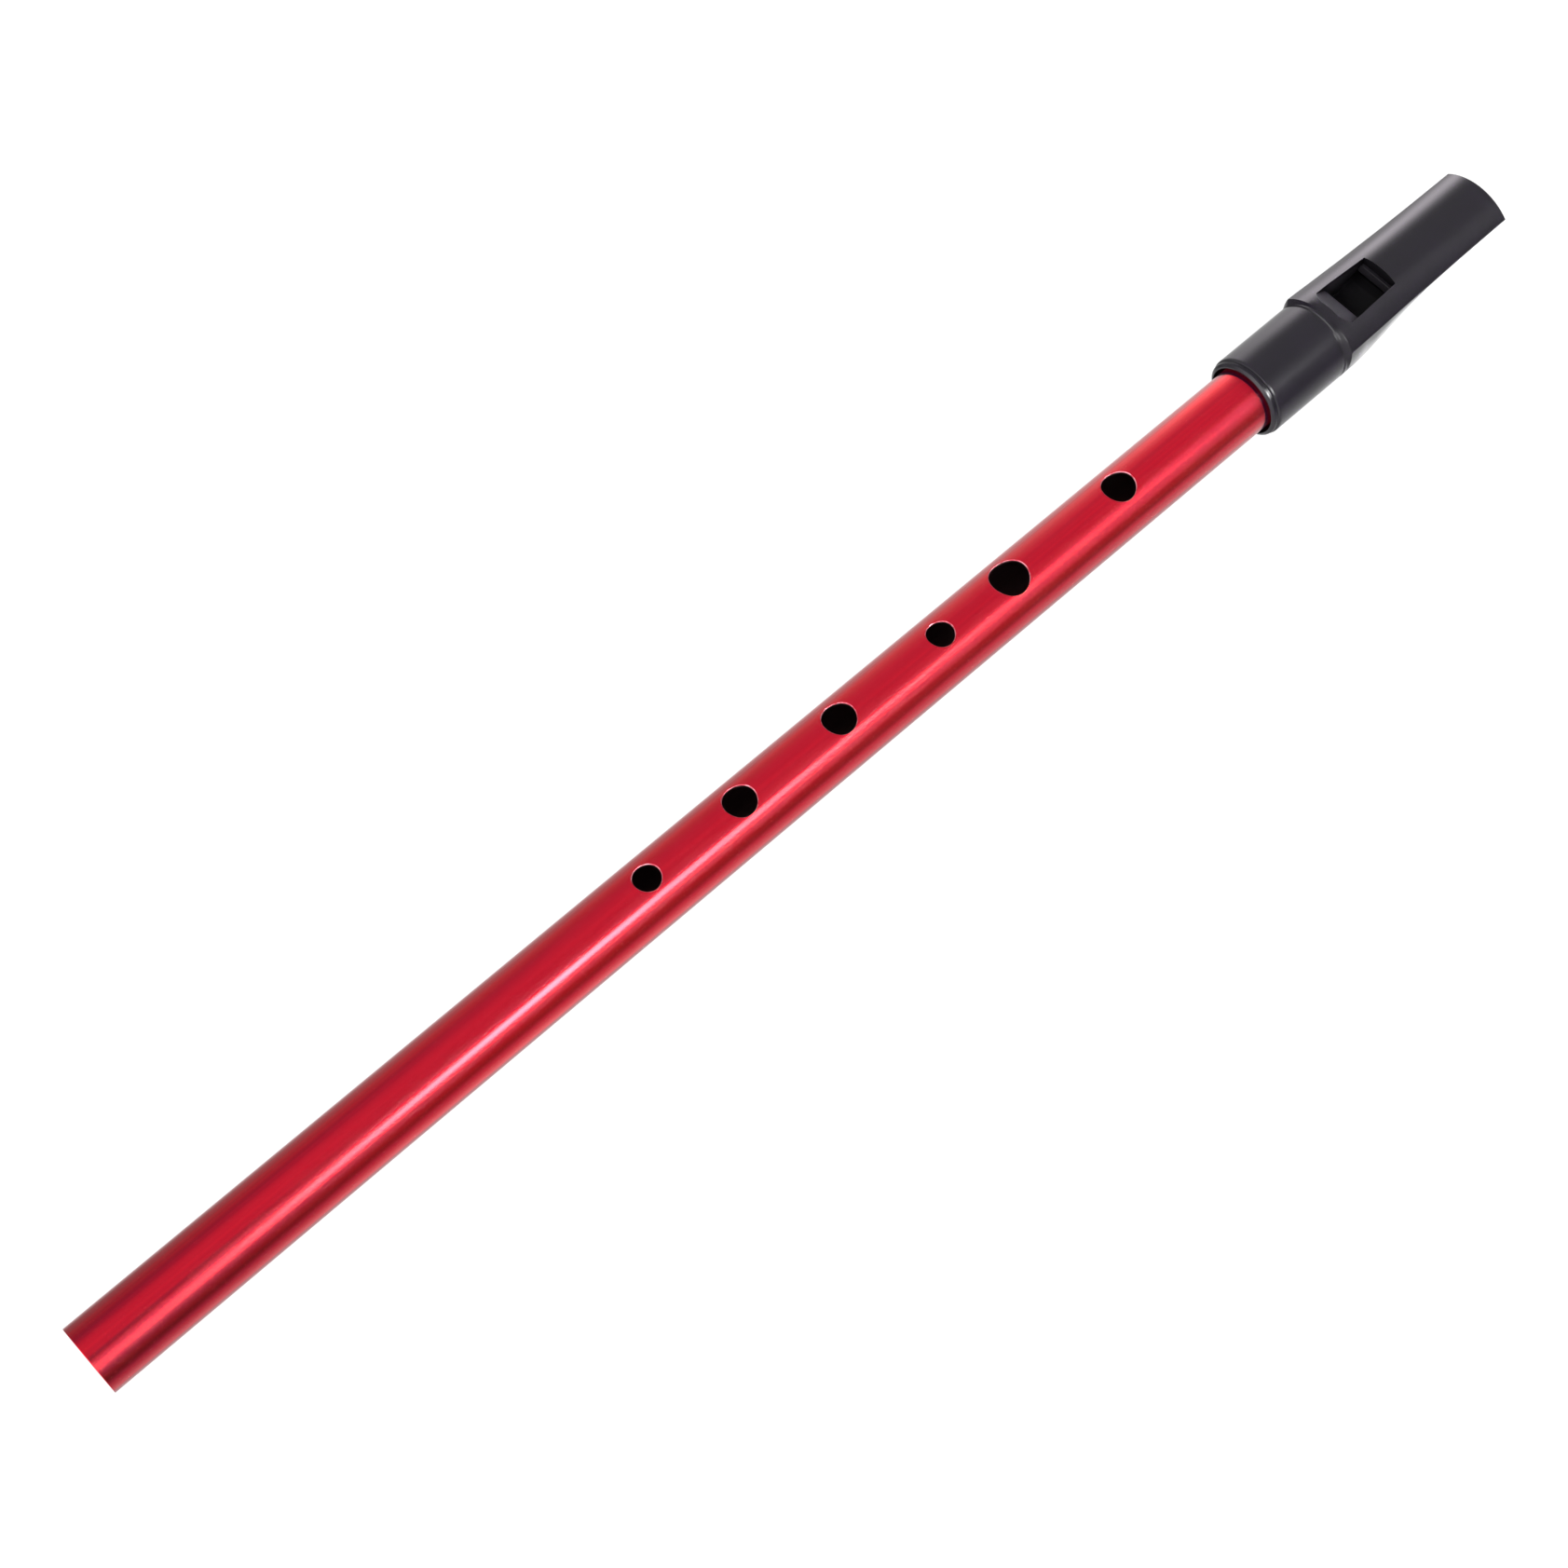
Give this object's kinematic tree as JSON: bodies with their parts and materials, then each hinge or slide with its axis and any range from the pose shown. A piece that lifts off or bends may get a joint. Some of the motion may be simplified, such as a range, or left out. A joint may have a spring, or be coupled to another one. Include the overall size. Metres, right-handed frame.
{
  "type": "tin whistle",
  "caption": "Slim straight metal flute with finger holes down one side and a push-on moulded mouthpiece with a windway, window and blade.",
  "frame": {"origin": "centre of the bore at the open foot end of the tube", "axes": "+X runs along the bore from the open foot to the beak tip; +Z points out through the finger holes; +Y completes the right-handed set"},
  "size_m": [0.3305, 0.017, 0.0167],
  "materials": {
    "anodised_tube": "bright red anodised, fine lengthwise drawing marks",
    "shell_plastic": "satin black moulded",
    "plug_plastic": "satin black moulded"
  },
  "bodies": {
    "tube": {"tone_tube": "anodised_tube"},
    "mouthpiece": {"mouthpiece_shell": "shell_plastic", "fipple_plug": "plug_plastic"}
  },
  "joints": [
    {"name": "tuning_slide", "type": "slide", "parent": "tube", "child": "mouthpiece", "axis": [1, 0, 0], "range_m": [-0.002, 0.01]}
  ]
}
